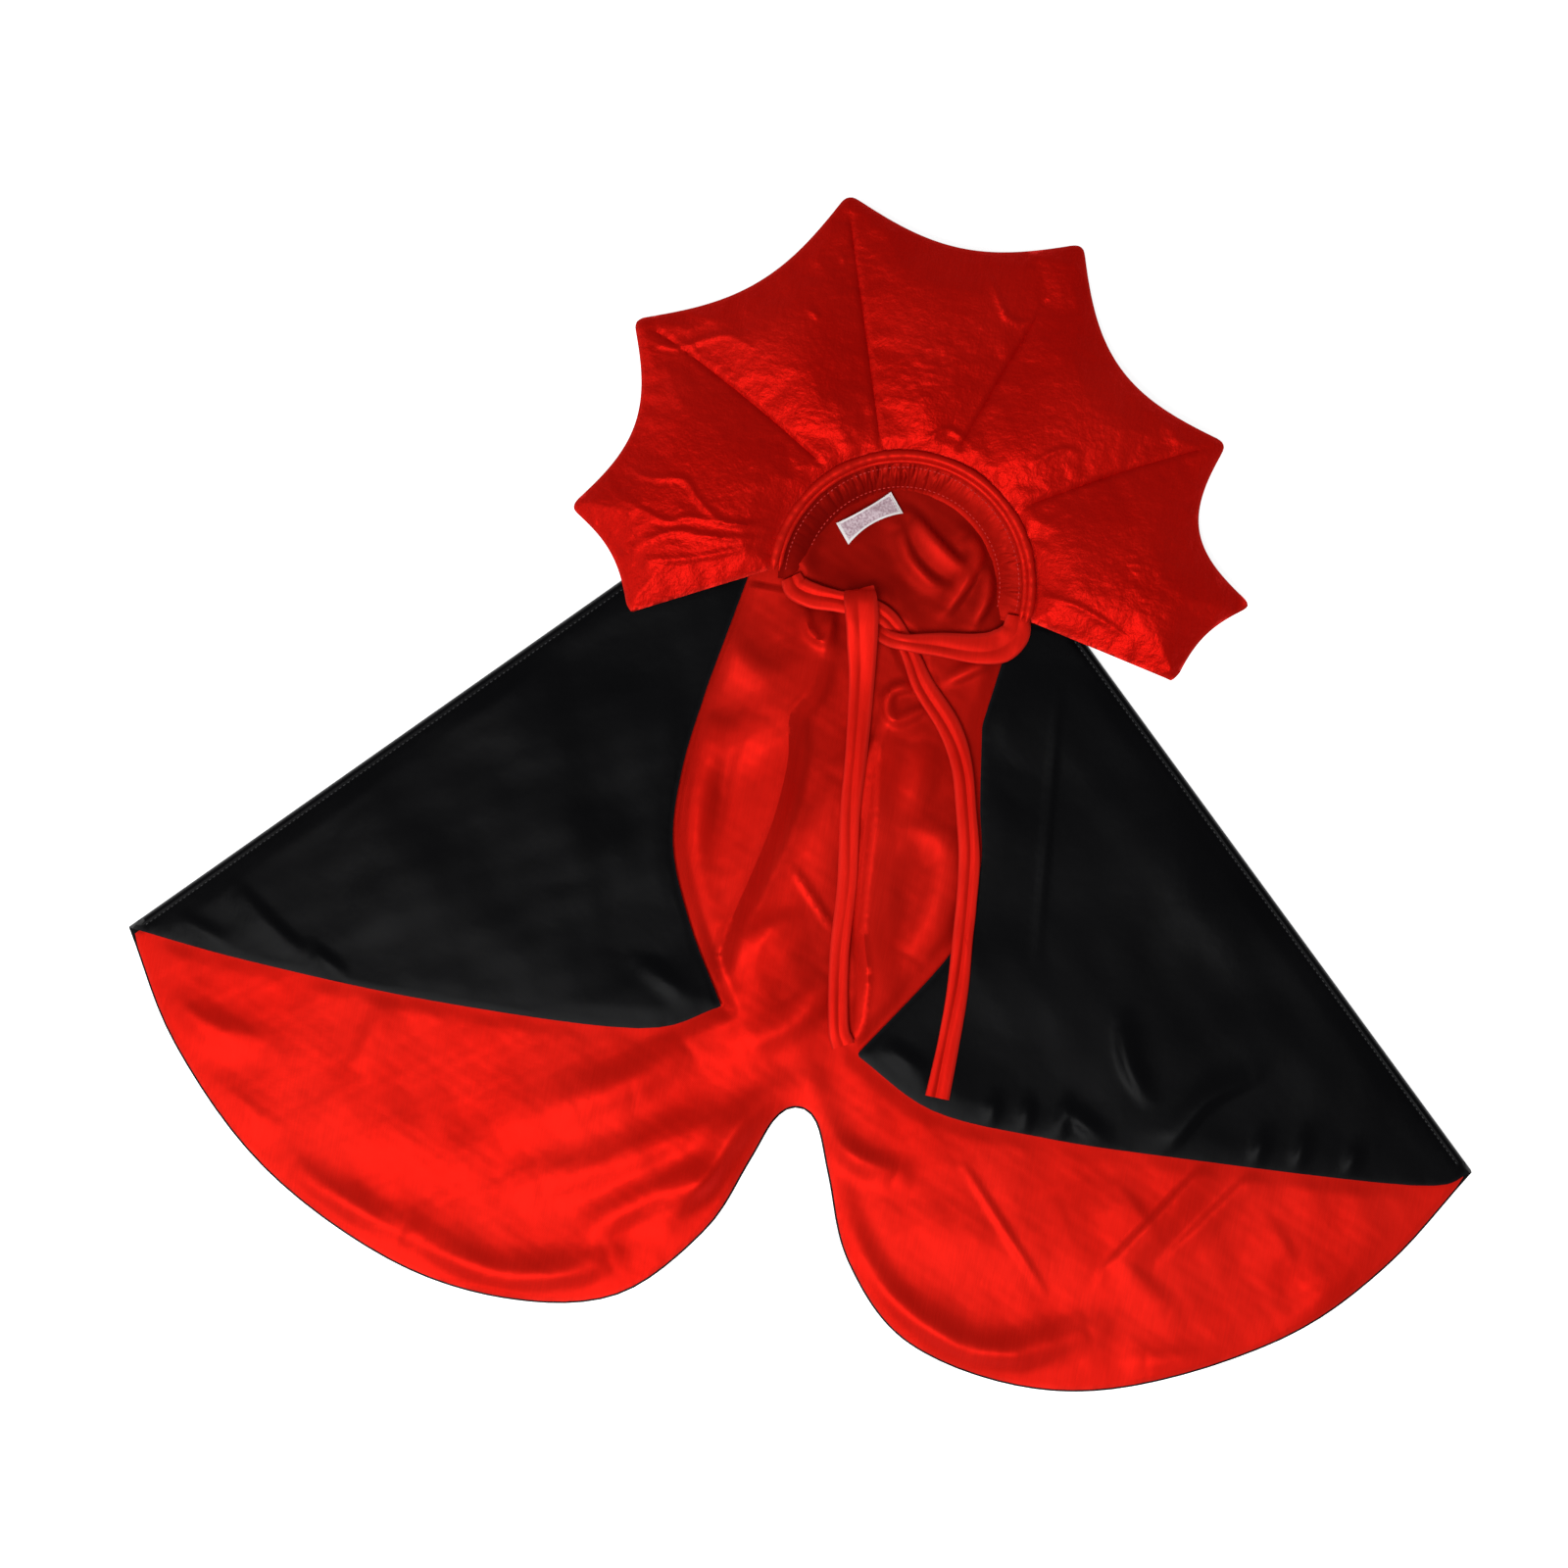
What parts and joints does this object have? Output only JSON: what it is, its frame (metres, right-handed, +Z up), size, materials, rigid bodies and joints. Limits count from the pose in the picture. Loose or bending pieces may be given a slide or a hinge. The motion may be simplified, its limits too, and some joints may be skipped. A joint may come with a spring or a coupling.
{
  "type": "costume cape",
  "caption": "Two-layer satin cape lying flat with its fronts folded in, a padded scalloped collar, a piped neck seam, neck ties and a two-lobed back hem.",
  "frame": {"origin": "middle of the footprint of the whole cape, on the surface it lies on", "axes": "+Z up out of the lining, +Y from the back hem towards the collar, +X to the right as seen from above"},
  "size_m": [0.695, 0.5836, 0.0183],
  "materials": {
    "black_satin": "black polyester satin with a soft sheen",
    "red_satin": "bright red polyester satin with a soft sheen",
    "wadding": "off-white felted wadding",
    "label_tape": "pale woven label tape, blank"
  },
  "bodies": {
    "back": {"back_shell": "black_satin", "back_lining": "red_satin", "left_side_shell": "black_satin", "left_side_lining": "red_satin", "right_side_shell": "black_satin", "right_side_lining": "red_satin", "collar_wings_shell": "black_satin", "collar_wings_pad": "wadding", "collar_wings_lining": "red_satin", "neck_piping": "red_satin", "neck_casing": "red_satin", "care_label": "label_tape", "left_tie": "red_satin", "right_tie": "red_satin"},
    "left_front": {"left_front_shell": "black_satin", "left_front_lining": "red_satin"},
    "right_front": {"right_front_shell": "black_satin", "right_front_lining": "red_satin"},
    "collar_back": {"collar_back_shell": "black_satin", "collar_back_pad": "wadding", "collar_back_lining": "red_satin"}
  },
  "joints": [
    {"name": "left_front_turn", "type": "hinge", "parent": "back", "child": "left_front", "pos_m": [-0.0795, 0.0332, 0.0058], "axis": [-0.8402, -0.5423, 0], "range_deg": [0, 165], "deforming": ["right_tie"]},
    {"name": "right_front_turn", "type": "hinge", "parent": "back", "child": "right_front", "pos_m": [0.0615, 0.0382, 0.0058], "axis": [-0.8477, 0.5305, 0], "range_deg": [0, 165], "deforming": ["left_tie"]},
    {"name": "collar_raise", "type": "hinge", "parent": "back", "child": "collar_back", "pos_m": [0, 0.1752, 0.0185], "axis": [1, 0, 0], "range_deg": [0, 100]}
  ]
}
